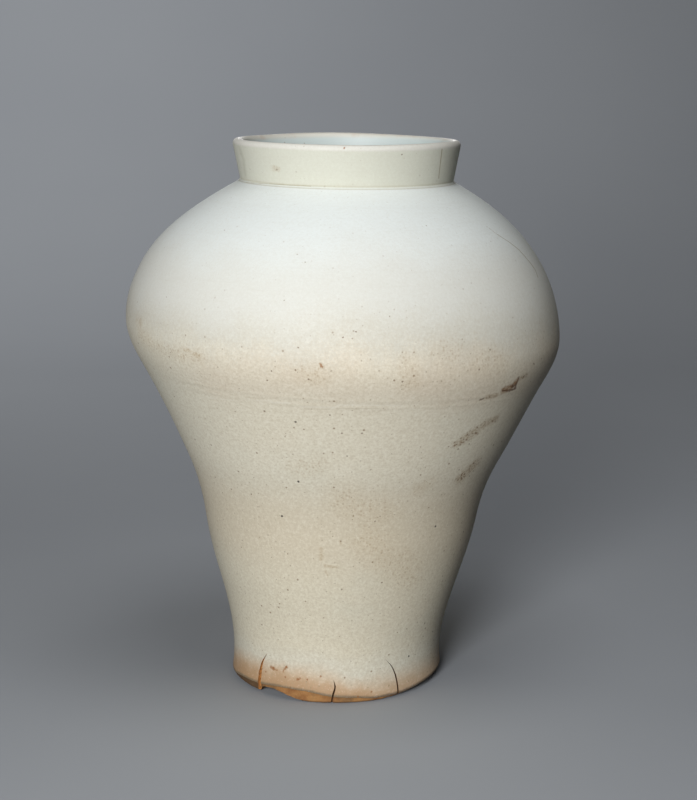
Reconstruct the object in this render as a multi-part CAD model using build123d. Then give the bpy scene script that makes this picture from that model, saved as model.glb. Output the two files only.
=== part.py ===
"""Tall white porcelain jar with a broad shoulder, thrown in two bowls and luted at the belly.

Millimetres, +Z up. The origin is the centre of the foot on the ground, and the jar leans a little to +X.
Every section is drawn as radius and height in the jar's own upright frame and turned about its axis.
"""
import math
import os

from build123d import *

# Foot and floor
FOOT_RADIUS = 89.1  # glazed outside of the straight foot
FOOT_TAPER = 1.9  # how far the bare edge draws in towards the ground
FOOT_RING_WIDTH = 16.0
RECESS_DEPTH = 6.0  # hollow turned under the floor
FLOOR_THICKNESS = 13.0
INNER_CORNER = 11.0  # rounding between the floor and the wall inside
BASE_EDGE = 13.5  # height of the base's rim, on which the lower wall stands
SPIGOT_MARGIN = 8.0  # flat of the wall's toe between the base's raised middle and the inner corner

# Outside of the glazed lower bowl, which stands on the straight foot
LOWER_BOWL_HEIGHT = 236.0  # from the straight foot to the joint of the two bowls
FLARE_RISE = 70.4  # above the straight foot, where the wall leans out most below the waist
FLARE_RADIUS = 104.9
WAIST_RISE = 133.4  # above the straight foot
WAIST_RADIUS = 119.6
SEAM_INSET = 9.8  # how far the joint lies inside the belly

# Outside of the glazed upper bowl
UPPER_BOWL_HEIGHT = 148.8  # from the joint to the neck's root
BELLY_RISE = 28.0  # above the joint
BELLY_RADIUS = 177.7
SHOULDER_RISE = 71.0  # above the joint
SHOULDER_INSET = 7.2  # how far the start of the shoulder lies inside the belly
ROOT_LEAN = 63.6  # degrees from upright at which the shoulder meets the neck

# Neck and lip
NECK_HEIGHT = 35.2
NECK_RADIUS = 86.2  # glazed outside at the root
RIM_RADIUS = 93.3
CREST_FLAT = 0.2  # left between the two roundings of the lip
BEAD_RISE = 3.0  # slip squeezed out round the root
BEAD_WIDTH = 3.6

# Walls, joints and coats
WALL = 9.0
NECK_WALL = 6.0
SLIP = 1.0
BEVEL_SLOPE = 1.3  # rise over run of the scarfed joint under the belly
GLAZE = 0.8
GLAZE_LINE = 4.8  # height of the glaze's lower edge at the jar's axis
GLAZE_TILT = 1.3  # degrees, the edge runs lower on the +X side
LEAN = 1.2  # degrees towards +X

# Damage at the foot: angles are counted from +X, and 270 degrees is the front
CHIP_ANGLE = 240.0
CHIP_WIDTH = 44.0
CHIP_HEIGHT = 7.6
CHIP_DEPTH = 7.0
CRACK_DEPTH = 6.0
LEFT_CRACK = dict(angle=226.5, height=35.0, width=2.4, drift=6.5)
MIDDLE_CRACK = dict(angle=268.5, height=20.0, width=1.4, drift=1.0)
RIGHT_CRACK = dict(angle=305.5, height=34.0, width=1.6, drift=-13.0)

# Heights of the outline's points
FLOOR_Z = RECESS_DEPTH + FLOOR_THICKNESS
FOOT_TOP_Z = FLOOR_Z + INNER_CORNER
FLARE_Z = FOOT_TOP_Z + FLARE_RISE
WAIST_Z = FOOT_TOP_Z + WAIST_RISE
SEAM_Z = FOOT_TOP_Z + LOWER_BOWL_HEIGHT
BELLY_Z = SEAM_Z + BELLY_RISE
SHOULDER_Z = SEAM_Z + SHOULDER_RISE
ROOT_Z = SEAM_Z + UPPER_BOWL_HEIGHT
RIM_Z = ROOT_Z + NECK_HEIGHT
# Spare clay under the foot, ground off flat once the jar leans
GROUND_STOCK = BASE_EDGE + FOOT_RADIUS * math.sin(math.radians(abs(LEAN)))

SEAM_RADIUS = BELLY_RADIUS - SEAM_INSET
SHOULDER_RADIUS = BELLY_RADIUS - SHOULDER_INSET
ROOT_RADIUS = NECK_RADIUS + BEAD_WIDTH
NECK_FLARE = (RIM_RADIUS - NECK_RADIUS) / NECK_HEIGHT

UPWARD = (0, 1)
ROOT_TANGENT = (-math.sin(math.radians(ROOT_LEAN)), math.cos(math.radians(ROOT_LEAN)))

BODY_POINTS = [
    (FOOT_RADIUS, FOOT_TOP_Z),
    (FLARE_RADIUS, FLARE_Z),
    (WAIST_RADIUS, WAIST_Z),
    (SEAM_RADIUS, SEAM_Z),
    (BELLY_RADIUS, BELLY_Z),
    (SHOULDER_RADIUS, SHOULDER_Z),
    (ROOT_RADIUS, ROOT_Z),
]
BODY_CURVE = Spline(*BODY_POINTS, tangents=(UPWARD, ROOT_TANGENT))

# Larger than the jar either way, for the regions that divide a section
WIDE = 2 * (BELLY_RADIUS + WAIST_RADIUS)
TALL = 2 * RIM_Z


def area(*corners):
    """Straight-sided area of a section."""
    return make_face(Polyline(*corners, close=True))


def body_points(inset):
    """Points of the body's outline, each moved inwards square to the wall."""
    moved = []
    for radius, height in BODY_POINTS:
        along = BODY_CURVE.tangent_at(BODY_CURVE.param_at_point((radius, height)))
        moved.append((radius - inset * along.Y, height + inset * along.X))
    return moved


def on_neck(inset, height):
    """Point of the flared neck's outline at this height, moved inwards."""
    return (NECK_RADIUS + NECK_FLARE * (height - ROOT_Z) - inset, height)


def outside(inset):
    """Filled half section of the jar, from its axis to a surface this far under the glaze."""
    points = body_points(inset)
    ground = (FOOT_RADIUS - FOOT_TAPER - inset, -GROUND_STOCK)
    base_top = (FOOT_RADIUS - inset, BASE_EDGE)
    bead_top = on_neck(inset, ROOT_Z + BEAD_RISE - inset / 2)
    rim = on_neck(inset, RIM_Z - inset)
    foot = Polyline((0, rim[1]), (0, -GROUND_STOCK), ground, base_top, points[0])
    body = Spline(*points, tangents=(UPWARD, ROOT_TANGENT))
    neck = Polyline(points[-1], bead_top, rim, (0, rim[1]))
    return make_face([foot, body, neck])


def hollow(inset, neck_inset, floor_height):
    """Filled half section of the space inside a surface this far under the glaze, open past the rim."""
    points = body_points(inset)
    start, end = points[0], points[-1]
    corner = start[1] - floor_height
    neck_foot = on_neck(neck_inset, (end[1] + ROOT_Z) / 2)
    neck_top = on_neck(neck_inset, TALL)
    floor = Polyline((0, TALL), (0, floor_height), (start[0] - corner, floor_height))
    rounding = RadiusArc((start[0] - corner, floor_height), start, -corner)
    body = Spline(*points, tangents=(UPWARD, ROOT_TANGENT))
    neck = Polyline(end, neck_foot, neck_top, (0, TALL))
    return make_face([floor, rounding, body, neck])


def round_lip(section, thickness):
    """Round both edges of a section's lip, as far as the leaning wall allows."""
    crest = section.vertices().group_by(Axis.Y)[-1]
    return fillet(crest, (thickness - CREST_FLAT) * math.cos(math.atan(NECK_FLARE)) / 2)


def base_region(grown):
    """Area of the base: its rim under the wall and its raised middle, grown by a layer of slip."""
    step = FOOT_RADIUS - GLAZE - WALL - INNER_CORNER - SPIGOT_MARGIN + grown
    seat = BASE_EDGE + grown
    return area((0, -TALL), (WIDE, -TALL), (WIDE, seat), (step, seat), (step, FOOT_TOP_Z), (0, FOOT_TOP_Z))


def below_belly_joint(raised):
    """Area below the scarfed joint under the belly, raised by a layer of slip."""
    reach = 2 * (WALL + GLAZE)
    low = SEAM_Z - reach * BEVEL_SLOPE + raised
    high = SEAM_Z + reach * BEVEL_SLOPE + raised
    bevel = [(SEAM_RADIUS + reach, low), (SEAM_RADIUS - reach, high)]
    return area((0, -TALL), (WIDE, -TALL), (WIDE, low), *bevel, (0, high))


def below_height(height):
    """Area below a level line."""
    return area((0, -TALL), (WIDE, -TALL), (WIDE, height), (0, height))


def turned(section):
    """Solid turned from a section about the jar's axis."""
    return revolve(Plane.XZ * section, Axis.Z)


def foot_plane(angle):
    """Upright plane inside the foot's outer face, looking outwards at this angle round the jar."""
    way_out = Vector(1, 0, 0).rotate(Axis.Z, angle)
    along = Vector(0, 1, 0).rotate(Axis.Z, angle)
    return Plane(origin=way_out * FOOT_RADIUS, x_dir=along, z_dir=way_out)


def crack(angle, height, width, drift):
    """Wedge-shaped firing crack that rises from the foot's edge and leans aside as it closes."""
    outline = [(-width / 2, -GROUND_STOCK), (width / 2, -GROUND_STOCK), (drift, height)]
    wedge = foot_plane(angle).offset(-CRACK_DEPTH) * area(*outline)
    return extrude(wedge, CRACK_DEPTH + WAIST_RADIUS)


def chip():
    """Scallop broken out of the foot's lower edge."""
    curve = CHIP_WIDTH**2 / (8 * CHIP_HEIGHT) + CHIP_HEIGHT / 2
    disc = Pos(0, CHIP_HEIGHT - curve) * Circle(curve)
    return extrude(foot_plane(CHIP_ANGLE).offset(-CHIP_DEPTH) * disc, CHIP_DEPTH + WAIST_RADIUS)


def bare_foot():
    """Space below the glaze's slanting lower edge."""
    block = Box(WIDE, WIDE, TALL, align=(Align.CENTER, Align.CENTER, Align.MAX))
    return Pos(0, 0, GLAZE_LINE) * Rot(0, GLAZE_TILT, 0) * block


# Sections: the clay, and the coat of glaze that wraps it over the lip
clay_hollow = hollow(GLAZE + WALL, GLAZE + NECK_WALL, FLOOR_Z)
coat_hollow = hollow(GLAZE + WALL + GLAZE, GLAZE + NECK_WALL + GLAZE, FLOOR_Z + GLAZE)
middle = hollow(GLAZE + WALL / 2, GLAZE + NECK_WALL / 2, FLOOR_Z - FLOOR_THICKNESS / 2)
recess_radius = FOOT_RADIUS - GLAZE - FOOT_RING_WIDTH
recess = area((0, -TALL), (recess_radius, -TALL), (recess_radius, RECESS_DEPTH), (0, RECESS_DEPTH))
clay = round_lip(outside(GLAZE) - clay_hollow, NECK_WALL)
coated = round_lip(outside(0) - coat_hollow, NECK_WALL + 2 * GLAZE)
coat = coated - clay

# Joints: the base, the belly and the root of the neck divide the clay
seat_z = body_points(GLAZE)[-1][1]
neck_clay = NECK_RADIUS - GLAZE
bead_z = ROOT_Z + BEAD_RISE
bead = area((neck_clay, seat_z), (WIDE, seat_z), (WIDE, bead_z), (neck_clay, bead_z))
base_and_slip = base_region(SLIP)
under_seat = below_height(seat_z)
neck_joint = below_height(seat_z + SLIP) + bead - under_seat
lower_bowl = clay & below_belly_joint(0)
upper_bowl = clay & under_seat

sections = {
    "base_disc": (clay & base_region(0)) - recess,
    "base_slip": (clay & base_and_slip) - base_region(0),
    "lower_wall": lower_bowl - base_and_slip,
    "belly_slip": (clay & below_belly_joint(SLIP)) - below_belly_joint(0),
    "upper_wall": upper_bowl - below_belly_joint(SLIP),
    "neck_slip": clay & neck_joint,
    "neck_ring": clay - under_seat - neck_joint,
    "outer_glaze": coat - middle,
    "inner_glaze": coat & middle,
}
pieces = {name: turned(section) for name, section in sections.items()}

# Bare foot, firing cracks and the chip
pieces["outer_glaze"] -= bare_foot()
cracks = [crack(**LEFT_CRACK), crack(**MIDDLE_CRACK), crack(**RIGHT_CRACK)]
for name in ("base_disc", "base_slip", "lower_wall", "outer_glaze"):
    pieces[name] -= cracks
for name in ("base_disc", "outer_glaze"):
    pieces[name] -= chip()

# The jar leans, and its foot is ground flat
ground = Box(WIDE, WIDE, TALL, align=(Align.CENTER, Align.CENTER, Align.MAX))
os.makedirs("parts", exist_ok=True)
for name, piece in pieces.items():
    leaning = Rot(0, LEAN, 0) * piece - ground
    export_step(leaning, f"parts/{name}.step")
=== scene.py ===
"""Tall white porcelain jar with a broad shoulder: its finish, its settled shape and its firing marks.

Metres, +Z up. The origin is the centre of the foot on the ground, and the front faces -Y.
Every piece is drawn upright as a section of radius and height, spun round the axis, and then settled.
"""

import math

import bmesh
import bpy
import numpy as np
from mathutils import Matrix, Vector, geometry, noise
from mathutils.bvhtree import BVHTree


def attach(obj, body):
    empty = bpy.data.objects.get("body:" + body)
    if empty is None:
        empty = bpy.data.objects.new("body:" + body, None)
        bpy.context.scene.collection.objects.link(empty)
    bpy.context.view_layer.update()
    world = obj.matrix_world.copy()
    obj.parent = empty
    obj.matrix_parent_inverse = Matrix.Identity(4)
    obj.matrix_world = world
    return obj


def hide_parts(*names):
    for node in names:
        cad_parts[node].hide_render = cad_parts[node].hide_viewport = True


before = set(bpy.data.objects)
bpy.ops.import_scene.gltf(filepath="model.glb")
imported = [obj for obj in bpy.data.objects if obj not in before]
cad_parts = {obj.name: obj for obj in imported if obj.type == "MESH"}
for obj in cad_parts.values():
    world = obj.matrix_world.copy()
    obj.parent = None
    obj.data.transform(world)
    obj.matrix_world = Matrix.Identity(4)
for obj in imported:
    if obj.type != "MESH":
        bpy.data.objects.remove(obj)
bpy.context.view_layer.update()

# Base and foot
# A thick disc of porcelain clay, beaten flat and turned hollow underneath. Its rim is the bare foot,
# which the kiln burnt orange-brown, with a bruise on the left and three firing cracks rising from it.
MM = 0.001
STEPS_ROUND = 216
GLAZE = 0.8 * MM
WALL = 9.0 * MM
FOOT_RADIUS = 87.9 * MM  # over the glaze, at the waist above the foot
FOOT_FLARE = 0.7 * MM
FOOT_RING_WIDTH = 16.0 * MM
RECESS_DEPTH = 6.0 * MM
FLOOR_HEIGHT = 19.0 * MM
BASE_EDGE = 13.5 * MM
INNER_CORNER = 11.0 * MM
SPIGOT_MARGIN = 8.0 * MM
WORN_EDGE = 1.2 * MM  # rounding of the foot's edges
FLARE_HEIGHT = 6 * MM  # up to which the foot's side stands out
SPIGOT_RADIUS = FOOT_RADIUS - GLAZE - WALL - INNER_CORNER - SPIGOT_MARGIN
RECESS_RADIUS = FOOT_RADIUS - GLAZE - FOOT_RING_WIDTH
GRIT = 0.35 * MM  # how far the bare clay is pitted and lumpy
LUMPS, FINE_LUMPS, PITS = 260, 620, 180  # to the metre
RING_SPACING = 1.6 * MM  # between rows under the foot
SIDE_SPACING = 0.9 * MM  # between rows on the foot's side
LINE_SPACING = 8 * MM  # between rows of a surface that doesn't show


def smooth_curve(stations):
    """Smooth curve through stations of place, value and slope, level beyond its ends."""
    places, values, slopes = np.array(stations, float).T

    def at(place):
        place = np.clip(place, places[0], places[-1])
        i = np.clip(np.searchsorted(places, place) - 1, 0, len(places) - 2)
        run = places[i + 1] - places[i]
        t = (place - places[i]) / run
        ease = t * t * (3 - 2 * t)
        pull = slopes[i] * (1 - t) - slopes[i + 1] * t
        return values[i] * (1 - ease) + values[i + 1] * ease + run * t * (1 - t) * pull

    return at


def round_curve(stations):
    """Smooth curve round the jar, from stations of degrees, millimetres, and millimetres per degree."""
    return smooth_curve([(turn, height * MM, rise * MM) for turn, height, rise in stations])


def divided(line, spacing):
    """The same open line of radius and height, with points no further apart than the spacing."""
    points = [line[0]]
    for start, end in zip(line, line[1:]):
        parts = max(1, math.ceil(math.dist(start, end) / spacing))
        for part in range(1, parts + 1):
            share = part / parts
            points.append(tuple(a + (b - a) * share for a, b in zip(start, end)))
    return points


def thrown(section):
    """Closed shell spun from a section, which starts and ends on the axis or goes right round."""
    bm = bmesh.new()
    corners = [bm.verts.new((radius, 0, height)) for radius, height in section]
    for start, end in zip(corners, corners[1:]):
        bm.edges.new((start, end))
    if section[0][0] > 0:
        bm.edges.new((corners[-1], corners[0]))
    outline_parts = bm.verts[:] + bm.edges[:]
    bmesh.ops.spin(
        bm, geom=outline_parts, cent=(0, 0, 0), axis=(0, 0, 1), angle=2 * math.pi,
        steps=STEPS_ROUND, use_merge=True,
    )
    bmesh.ops.remove_doubles(bm, verts=bm.verts, dist=0.001 * MM)
    bmesh.ops.recalc_face_normals(bm, faces=bm.faces)
    return bm


# How the soft clay settled on its way to the kiln: the rings dip to the right, most at the belly,
# the axis drifts to the right, and the wall has shallow dents.
# Height, then degrees of dip or metres of drift, then its slope there
ring_dip = smooth_curve([
    (0, 0, 6.5), (0.15, 0.99, 10), (0.23, 2.04, 12), (0.29, 2.49, 0), (0.35, 0.91, -4), (0.416, 0.8, 0),
])
axis_drift = smooth_curve([
    (0, 0, 0.02), (0.15, 0.0046, 0.028), (0.23, 0.0068, 0), (0.35, 0.0055, 0), (0.416, 0.0091, 0),
])
DENT = 0.35 * MM
DENT_RISE = 60 * MM  # height over which one dent gives way to the next
DENTS_ROUND = 1.3
FIRM_HEIGHT = 40 * MM  # up to which the wall kept its shape better
AXIS_WIDTH = 1 * MM
RIM_HEIGHT = 450 * MM
RIM_REACH = 30 * MM  # how far down the rim's wave is felt
# How far the rim stands high or low round the mouth
rim_wave = round_curve([
    (0, 0.1, -0.02), (35, -0.4, 0), (60, -0.2, 0.01), (98, 0.45, 0), (145, -0.7, 0), (200, -0.3, 0),
    (240, 0.1, 0), (280, 0.1, 0), (306, 0.6, 0.015), (328, 0.9, 0), (360, 0.1, -0.02),
])


def settled(points):
    """Where points of the upright jar come to lie."""
    x, y, z = np.array(points, float).reshape(-1, 3).T
    turn = np.arctan2(y, x)
    way_out = np.stack([np.cos(turn), np.sin(turn), z / DENT_RISE], axis=1)
    dents = np.array([noise.noise(Vector(way) * DENTS_ROUND) for way in way_out])
    dents *= DENT * np.clip(z / FIRM_HEIGHT - 0.3, 0, 1) * (np.hypot(x, y) > AXIS_WIDTH)
    near_rim = np.clip((z - RIM_HEIGHT) / RIM_REACH + 1, 0, 1) ** 2
    wave = near_rim * rim_wave(np.degrees(turn) % 360)
    x = x + dents * np.cos(turn)
    y = y + dents * np.sin(turn)
    lowered = np.tan(np.radians(ring_dip(z))) * x
    return np.stack([x + axis_drift(z), y, z - lowered + wave], axis=1)


def settle(bm):
    """Move a spun shell to where it came to lie."""
    for vert, place in zip(bm.verts, settled([vert.co for vert in bm.verts])):
        vert.co = place


def placed(bm, name, node, slot, *materials):
    """Finished piece made from a shell: it stands for its node and rides with the jar."""
    mesh = bpy.data.meshes.new(name)
    bm.to_mesh(mesh)
    bm.free()
    mesh.shade_smooth()
    for material in materials:
        mesh.materials.append(material)
    piece = bpy.data.objects.new(name, mesh)
    bpy.context.scene.collection.objects.link(piece)
    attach(piece, "root")
    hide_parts(node)
    return piece


def shade(red, green, blue):
    """Linear colour of a shade given in the usual 0 to 255 steps."""
    steps = [step / 255 for step in (red, green, blue)]
    return (*[s / 12.92 if s <= 0.04045 else ((s + 0.055) / 1.055) ** 2.4 for s in steps], 1)


def new_finish(name):
    """Material with its node tree, its shader and the piece's own coordinates."""
    material = bpy.data.materials.new(name)
    material.use_nodes = True
    tree = material.node_tree
    place = tree.nodes.new("ShaderNodeTexCoord").outputs["Object"]
    return material, tree, tree.nodes["Principled BSDF"], place


def shader_node(tree, kind, inputs, **settings):
    """Shader node with its settings, and its inputs either set or linked."""
    made = tree.nodes.new("ShaderNode" + kind)
    for key, value in settings.items():
        setattr(made, key, value)
    for key, value in inputs.items():
        if isinstance(value, bpy.types.NodeSocket):
            tree.links.new(value, made.inputs[key])
        else:
            made.inputs[key].default_value = value
    return made


def cloud(tree, place, scale, detail=3.0, roughness=0.55):
    """Soft random field from 0 to 1; the scale counts its swells to the metre."""
    inputs = {"Vector": place, "Scale": scale, "Detail": detail, "Roughness": roughness}
    return shader_node(tree, "TexNoise", inputs).outputs["Fac"]


def ease(tree, value, low, high, start=0.0, end=1.0):
    """Value eased from start to end between two limits."""
    inputs = {"Value": value, "From Min": low, "From Max": high, "To Min": start, "To Max": end}
    return shader_node(tree, "MapRange", inputs, interpolation_type="SMOOTHSTEP").outputs["Result"]


def sums(tree, operation, first, second):
    """Result of one sum on two values."""
    return shader_node(tree, "Math", {0: first, 1: second}, operation=operation).outputs[0]


def blend(tree, share, first, second):
    """Colour blended from the first to the second by a share."""
    return shader_node(tree, "Mix", {0: share, 6: first, 7: second}, data_type="RGBA").outputs[2]


def relief(tree, height, depth):
    """Normal of a fine relief this deep."""
    return shader_node(tree, "Bump", {"Height": height, "Distance": depth, "Strength": 1.0}).outputs["Normal"]


def join(tree, shader, colour, roughness, normal):
    """Give a shader its colour, roughness and relief."""
    tree.links.new(colour, shader.inputs["Base Color"])
    tree.links.new(roughness, shader.inputs["Roughness"])
    tree.links.new(normal, shader.inputs["Normal"])


def bare_clay():
    """Burnt, unglazed clay: ochre and rust in patches, smoky, darker near the ground, dull, gritty, with a
    painted highlight on its grains.
    """
    material, tree, shader, place = new_finish("bare_burnt_clay")
    across, up = (shader_node(tree, "SeparateXYZ", {"Vector": place}).outputs[axis] for axis in "XZ")
    patches = ease(tree, cloud(tree, place, 75, 4), 0.35, 0.68)
    smoke = ease(tree, cloud(tree, place, 45, 4), 0.45, 0.7, 0, 0.6)
    smoke = sums(tree, "MAXIMUM", smoke, ease(tree, across, -50 * MM, -66 * MM, 0, 0.9))
    smoke = sums(tree, "MAXIMUM", smoke, ease(tree, up, 2.4 * MM, 0.4 * MM, 0, 0.7))
    grit = cloud(tree, place, 900, 3, 0.7)
    colour = blend(tree, patches, shade(184, 136, 82), shade(146, 98, 54))
    colour = blend(tree, smoke, colour, shade(84, 64, 44))
    # Painted highlight: the raised grains, which the relief lifts, are painted lighter.
    colour = blend(tree, ease(tree, grit, 0.55, 0.75, 0, 0.3), colour, shade(206, 174, 128))
    roughness = ease(tree, grit, 0.3, 0.7, 0.7, 0.92)
    join(tree, shader, colour, roughness, relief(tree, grit, 0.35 * MM))
    return material


def crack_grime():
    """Walls of a firing crack: dark iron brown, and ochre where the wide left one is filled with rust."""
    material, tree, shader, place = new_finish("crack_grime")
    across = shader_node(tree, "SeparateXYZ", {"Vector": place}).outputs["X"]
    filled = ease(tree, cloud(tree, place, 420, 3), 0.3, 0.55)
    rust = sums(tree, "MULTIPLY", ease(tree, across, -40 * MM, -55 * MM), filled)
    grit = cloud(tree, place, 800, 3)
    colour = blend(tree, cloud(tree, place, 130, 3), shade(62, 42, 26), shade(112, 74, 40))
    colour = blend(tree, rust, colour, shade(184, 126, 66))
    join(tree, shader, colour, ease(tree, grit, 0.2, 0.8, 0.75, 0.95), relief(tree, grit, 0.3 * MM))
    return material


# Cutters: each is an outline facing out of the foot at its own angle, drawn as sideways and height,
# and pushed through the clay from outside. Its walls keep the finish that the cut should have.
CUT_START = 12 * MM  # outside the foot
UNDER_GROUND = -3 * MM
JAG = 0.18 * MM  # how far the edges of a crack stray
JAG_LENGTH, FRAY_LENGTH = 3 * MM, 2 * MM
CRACK_POINTS = 13
# Degrees round the foot, depth, and stations of height, sideways, width and sideways slope, in millimetres
CRACKS = {
    "left_crack": (226.5, 1.9, [
        (-3, -3.6, 2.6, 0), (6, -3.4, 3.6, 0), (16, -2.8, 3.6, 0.1), (25, -0.8, 2.0, 0.35),
        (36, 6.0, 0.05, 0.7),
    ]),
    "middle_crack": (269, 3, [
        (-3, -2.2, 1.7, 0.2), (8, -0.3, 1.6, 0.2), (14.5, 1.2, 1.2, 0), (20.5, -0.6, 0.05, -0.5),
    ]),
    "right_crack": (305, 3, [
        (-3, 0.6, 1.6, 0), (14.5, -0.6, 1.4, -0.2), (26, -5.0, 1.0, -0.55), (34.5, -12.2, 0.05, -1.0),
    ]),
}


def cutter(name, angle, outline, depth, finish, droop=1.0):
    """Solid that cuts this outline into the foot; droop shrinks its height at the far end."""
    turn = math.radians(angle)
    way_out = Vector((math.cos(turn), math.sin(turn), 0))
    sideways = Vector((-math.sin(turn), math.cos(turn), 0))
    start = way_out * (FOOT_RADIUS + CUT_START)
    bm = bmesh.new()
    corners = [bm.verts.new(start + sideways * across + Vector((0, 0, up))) for across, up in outline]
    mouth = bm.faces.new(corners)
    pushed = bmesh.ops.extrude_face_region(bm, geom=[mouth])["geom"]
    far_end = [part for part in pushed if isinstance(part, bmesh.types.BMVert)]
    bmesh.ops.translate(bm, verts=far_end, vec=way_out * -(CUT_START + depth))
    bmesh.ops.scale(bm, verts=far_end, vec=(1, 1, droop))
    bmesh.ops.recalc_face_normals(bm, faces=bm.faces)
    mesh = bpy.data.meshes.new(name)
    bm.to_mesh(mesh)
    bm.free()
    mesh.materials.append(finish)
    made = bpy.data.objects.new(name, mesh)
    bpy.context.scene.collection.objects.link(made)
    return made


def crack_outline(stations):
    """Jagged gape of a crack, from its stations."""
    lean = smooth_curve([(height * MM, across * MM, slope) for height, across, width, slope in stations])
    gape = smooth_curve([(height * MM, width * MM, 0) for height, across, width, slope in stations])
    own_jags = stations[0][2]  # the width at the ground picks them
    left, right = [], []
    for height in np.linspace(stations[0][0] * MM, stations[-1][0] * MM, CRACK_POINTS):
        wander = JAG * noise.noise(Vector((height / JAG_LENGTH, own_jags, 0)))
        fray = JAG * noise.noise(Vector((height / FRAY_LENGTH, own_jags, 7)))
        left.append((lean(height) + wander - gape(height) / 2, height))
        right.append((lean(height) + wander + fray + gape(height) / 2, height))
    return left + right[::-1]


bare_finish = bare_clay()
grime_finish = crack_grime()
cracks = []
for name, (angle, depth, stations) in CRACKS.items():
    cracks.append(cutter(name, angle, crack_outline(stations), depth * MM, grime_finish))

# The bruise breaks off steeply beside the left crack and runs out slowly to the right.
BRUISE_DEPTH = 15 * MM
BRUISE_DROOP = 0.8
BRUISE_LEFT, BRUISE_RIGHT = -23 * MM, 32 * MM
BRUISE_POINTS = 29
RIPPLE = 0.25 * MM
RIPPLE_LENGTH = 4 * MM
CRISP_ANGLE = math.radians(40)
bruise_edge = smooth_curve([
    (BRUISE_LEFT, 0.6 * MM, 3), (-20 * MM, 5.6 * MM, 0.6), (-10 * MM, 7.4 * MM, 0), (0, 6.0 * MM, -0.22),
    (7 * MM, 3.9 * MM, -0.27), (14 * MM, 2.1 * MM, -0.2), (30 * MM, 0, 0),
])
bruise_outline = [(BRUISE_LEFT, UNDER_GROUND)]
for across in np.linspace(BRUISE_LEFT, BRUISE_RIGHT, BRUISE_POINTS):
    ripple = RIPPLE * noise.noise(Vector((across / RIPPLE_LENGTH, 3, 5)))
    bruise_outline.append((across, bruise_edge(across) + ripple))
bruise_outline.append((BRUISE_RIGHT, UNDER_GROUND))
bruise = cutter("bruise", 239, bruise_outline, BRUISE_DEPTH, bare_finish, BRUISE_DROOP)


def cut_away(piece, cutters):
    """Cut the cutters out of a piece for good, with crisp edges round the cuts."""
    for tool in cutters:
        step = piece.modifiers.new(tool.name, "BOOLEAN")
        step.object = tool
        step.operation = "DIFFERENCE"
        step.solver = "MANIFOLD"
        step.material_mode = "TRANSFER"
    bpy.context.view_layer.update()
    whole = piece.data
    shaped = piece.evaluated_get(bpy.context.evaluated_depsgraph_get())
    piece.data = bpy.data.meshes.new_from_object(shaped)
    piece.modifiers.clear()
    piece.data.name = piece.name
    bpy.data.meshes.remove(whole)
    piece.data.set_sharp_from_angle(angle=CRISP_ANGLE)


# Height by which the foot's warped edge clears the ground
foot_lift = round_curve([
    (0, 6.2, 0), (50, 3, -0.06), (105, 0, 0), (160, 0, 0), (205, 2.0, 0), (226, 1.4, 0), (240, 0, 0),
    (288, 0, 0), (305, 1.6, 0.13), (328, 5.0, 0.13), (345, 6.4, 0), (360, 6.2, 0),
])
foot_side = FOOT_RADIUS - GLAZE
foot_edge = foot_side + FOOT_FLARE
base_section = (
    divided([(0, RECESS_DEPTH), (RECESS_RADIUS - 2 * WORN_EDGE, RECESS_DEPTH)], LINE_SPACING)
    + [(RECESS_RADIUS, RECESS_DEPTH - 2 * WORN_EDGE), (RECESS_RADIUS, WORN_EDGE)]
    + divided([(RECESS_RADIUS + WORN_EDGE, 0), (foot_edge - WORN_EDGE, 0)], RING_SPACING)
    + divided([(foot_edge - 0.3 * WORN_EDGE, 0.3 * WORN_EDGE), (foot_edge, WORN_EDGE),
               (foot_edge, FLARE_HEIGHT), (foot_side, BASE_EDGE)], SIDE_SPACING)
    + [(SPIGOT_RADIUS, BASE_EDGE), (SPIGOT_RADIUS, FLOOR_HEIGHT), (0, FLOOR_HEIGHT)]
)
base_shell = thrown(base_section)
for vert in base_shell.verts:
    x, y, z = vert.co
    radius = math.hypot(x, y)
    if radius > RECESS_RADIUS - 3 * WORN_EDGE and z < BASE_EDGE - GRIT:
        turn = math.degrees(math.atan2(y, x)) % 360
        lump = noise.noise(vert.co * LUMPS) + 0.6 * noise.noise(vert.co * FINE_LUMPS)
        vert.co.x += x / radius * GRIT * (lump - 0.3)
        vert.co.y += y / radius * GRIT * (lump - 0.3)
        pit = GRIT * max(0, noise.noise(vert.co * PITS))
        vert.co.z += pit + float(foot_lift(turn)) * (1 - z / BASE_EDGE)
settle(base_shell)
base_disc = placed(base_shell, "base_disc", "base_disc", "bare_foot_clay", bare_finish)
cut_away(base_disc, cracks + [bruise])

# Slip under the wall
# Clay thinned to a paste and brushed on the base's rim and round its raised middle, so that the wall
# sticks to it. It dried as a thin pale layer, and only the cracks lay it open.
SLIP = 1.0 * MM


def dried_slip():
    """Fired slip: pale grey cream, dull, with fine brush streaks round the joint."""
    material, tree, shader, place = new_finish("dried_slip")
    streaks = shader_node(tree, "Mapping", {"Vector": place, "Scale": (40, 40, 900)}).outputs["Vector"]
    brush = cloud(tree, streaks, 1, 3)
    colour = blend(tree, cloud(tree, place, 120), shade(216, 209, 192), shade(196, 184, 162))
    colour = blend(tree, ease(tree, brush, 0.5, 0.8, 0, 0.4), colour, shade(176, 160, 136))
    join(tree, shader, colour, ease(tree, brush, 0.3, 0.7, 0.6, 0.85), relief(tree, brush, 0.2 * MM))
    return material


def spun(section, name, slot, material):
    """Finished piece spun from its section, and settled."""
    shell = thrown(section)
    settle(shell)
    return placed(shell, name, name, slot, material)


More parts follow.
